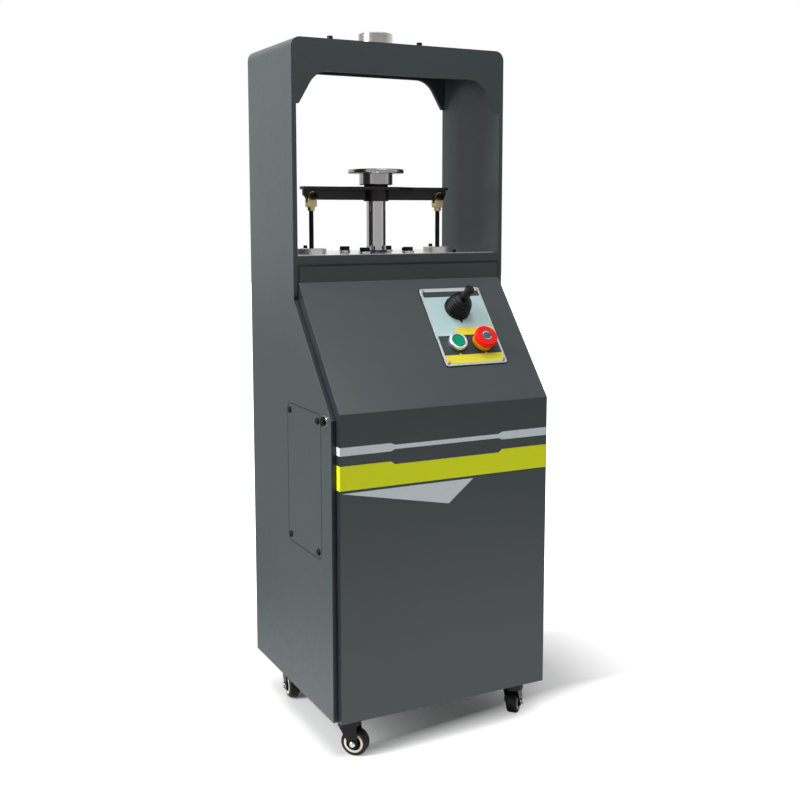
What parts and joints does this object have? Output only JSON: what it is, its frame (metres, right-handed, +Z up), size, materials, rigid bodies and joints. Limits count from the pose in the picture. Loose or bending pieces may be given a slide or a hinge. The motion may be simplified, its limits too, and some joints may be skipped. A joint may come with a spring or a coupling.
{
  "type": "electric clay specimen extruder",
  "caption": "Floor-standing hydraulic clay specimen extruder: arch frame over a table, ram with disc and guided cross beam, sloping control desk, swivel castors.",
  "frame": {"origin": "on the floor under the middle of the machine's outline", "axes": "+Z up along the ram, -Y towards the operator and the sloping desk, +X to the operator's right"},
  "size_m": [0.4132, 0.3705, 1.192],
  "materials": {
    "powder_coat": "semi-gloss anthracite powder coat with a faint orange peel",
    "table_steel": "bright milled steel",
    "bright_steel": "turned steel, lightly oiled",
    "chrome": "hard chromed and ground",
    "beam_black": "black enamel",
    "black_steel": "black oxide",
    "zinc_yellow": "yellow passivated zinc on steel",
    "cylinder_paint": "dark grey enamel",
    "valve_metal": "plain machined",
    "seal_blue": "blue polyurethane seal",
    "panel_print": "printed panel, satin",
    "panel_screw": "copper tinted screw",
    "black_plastic": "moulded black plastic",
    "boot_rubber": "ribbed rubber",
    "stick_steel": "plain steel",
    "green_plastic": "glossy green",
    "yellow_plastic": "glossy orange yellow",
    "grey_plastic": "moulded grey plastic",
    "red_plastic": "glossy red",
    "castor_black": "black enamel",
    "castor_steel": "zinc plated",
    "castor_tyre": "dark rubber"
  },
  "bodies": {
    "machine_body": {"arch_frame": "powder_coat", "front_fascia": "powder_coat", "rear_fascia": "powder_coat", "table_crossbar": "powder_coat", "front_cover": "powder_coat", "rear_cover": "powder_coat", "access_panel": "powder_coat", "base_plate": "powder_coat", "stop_plate": "powder_coat", "contactor_box": "powder_coat", "table_plate": "table_steel", "guide_flanges": "table_steel", "washers": "table_steel", "spare_ejector_disc": "bright_steel", "start_button_bezel": "chrome", "access_screws": "black_steel", "rear_screws": "black_steel", "cover_bolts": "black_steel", "table_bolts": "black_steel", "flange_screws": "black_steel", "gas_springs": "black_steel", "stop_plate_studs": "black_steel", "lift_cylinder": "cylinder_paint", "pump_motor": "cylinder_paint", "oil_tank": "cylinder_paint", "valve_block": "valve_metal", "pressure_pipe": "valve_metal", "rod_wiper": "seal_blue", "control_panel": "panel_print", "panel_screws": "panel_screw", "joystick_base": "black_plastic", "contact_blocks": "black_plastic", "cable_gland": "black_plastic", "joystick_boot": "boot_rubber", "stop_button_collar": "yellow_plastic", "castor_stems": "castor_steel"},
    "ram_carriage": {"ram": "chrome", "ejector_disc": "bright_steel", "ram_locknut": "black_steel", "cross_beam": "beam_black", "clevises": "zinc_yellow", "clevis_screws": "black_steel", "gas_rods": "black_steel"},
    "joystick_lever": {"joystick_stick": "stick_steel", "joystick_handle": "black_plastic"},
    "start_cap": {"start_button": "green_plastic"},
    "stop_stem": {"stop_button_stem": "grey_plastic"},
    "stop_head": {"stop_button": "red_plastic"},
    "castor_front_left": {"castor_fork_front_left": "castor_black"},
    "wheel_front_left": {"castor_core_front_left": "castor_black", "castor_tyre_front_left": "castor_tyre"},
    "castor_front_right": {"castor_fork_front_right": "castor_black"},
    "wheel_front_right": {"castor_core_front_right": "castor_black", "castor_tyre_front_right": "castor_tyre"},
    "castor_rear_left": {"castor_fork_rear_left": "castor_black"},
    "wheel_rear_left": {"castor_core_rear_left": "castor_black", "castor_tyre_rear_left": "castor_tyre"},
    "castor_rear_right": {"castor_fork_rear_right": "castor_black"},
    "wheel_rear_right": {"castor_core_rear_right": "castor_black", "castor_tyre_rear_right": "castor_tyre"}
  },
  "joints": [
    {"name": "ram_lift", "type": "slide", "parent": "machine_body", "child": "ram_carriage", "axis": [0, 0, 1], "range_m": [-0.055, 0.185]},
    {"name": "joystick_tilt", "type": "hinge", "parent": "machine_body", "child": "joystick_lever", "pos_m": [0.0815, -0.06156, 0.71209], "axis": [1, 0, 0], "range_deg": [-20, 20], "stiffness_Nm_per_rad": 1, "deforming": ["joystick_boot"]},
    {"name": "start_button_press", "type": "slide", "parent": "machine_body", "child": "start_cap", "axis": [0, 0.7729, -0.6345], "range_m": [0, 0.0038], "stiffness_N_per_m": 1200},
    {"name": "stop_button_push", "type": "slide", "parent": "machine_body", "child": "stop_stem", "axis": [0, 0.7729, -0.6345], "range_m": [0, 0.005]},
    {"name": "stop_button_twist", "type": "hinge", "parent": "stop_stem", "child": "stop_head", "pos_m": [0.1065, -0.12003, 0.67018], "axis": [0, -0.7729, 0.6345], "range_deg": [0, 45], "stiffness_Nm_per_rad": 0.05},
    {"name": "swivel_front_left", "type": "hinge", "parent": "machine_body", "child": "castor_front_left", "pos_m": [-0.1585, -0.1385, 0.065], "axis": [0, 0, 1], "continuous": true},
    {"name": "roll_front_left", "type": "hinge", "parent": "castor_front_left", "child": "wheel_front_left", "pos_m": [-0.15059, -0.14614, 0.0225], "axis": [-0.6947, -0.7193, 0], "continuous": true},
    {"name": "swivel_front_right", "type": "hinge", "parent": "machine_body", "child": "castor_front_right", "pos_m": [0.1585, -0.1385, 0.065], "axis": [0, 0, 1], "continuous": true},
    {"name": "roll_front_right", "type": "hinge", "parent": "castor_front_right", "child": "wheel_front_right", "pos_m": [0.16654, -0.131, 0.0225], "axis": [0.682, -0.7314, 0], "continuous": true},
    {"name": "swivel_rear_left", "type": "hinge", "parent": "machine_body", "child": "castor_rear_left", "pos_m": [-0.1585, 0.1215, 0.065], "axis": [0, 0, 1], "continuous": true},
    {"name": "roll_rear_left", "type": "hinge", "parent": "castor_rear_left", "child": "wheel_rear_left", "pos_m": [-0.15971, 0.11057, 0.0225], "axis": [-0.994, 0.1097, 0], "continuous": true},
    {"name": "swivel_rear_right", "type": "hinge", "parent": "machine_body", "child": "castor_rear_right", "pos_m": [0.1585, 0.1215, 0.065], "axis": [0, 0, 1], "continuous": true},
    {"name": "roll_rear_right", "type": "hinge", "parent": "castor_rear_right", "child": "wheel_rear_right", "pos_m": [0.16041, 0.11067, 0.0225], "axis": [-0.9848, -0.1736, 0], "continuous": true}
  ]
}
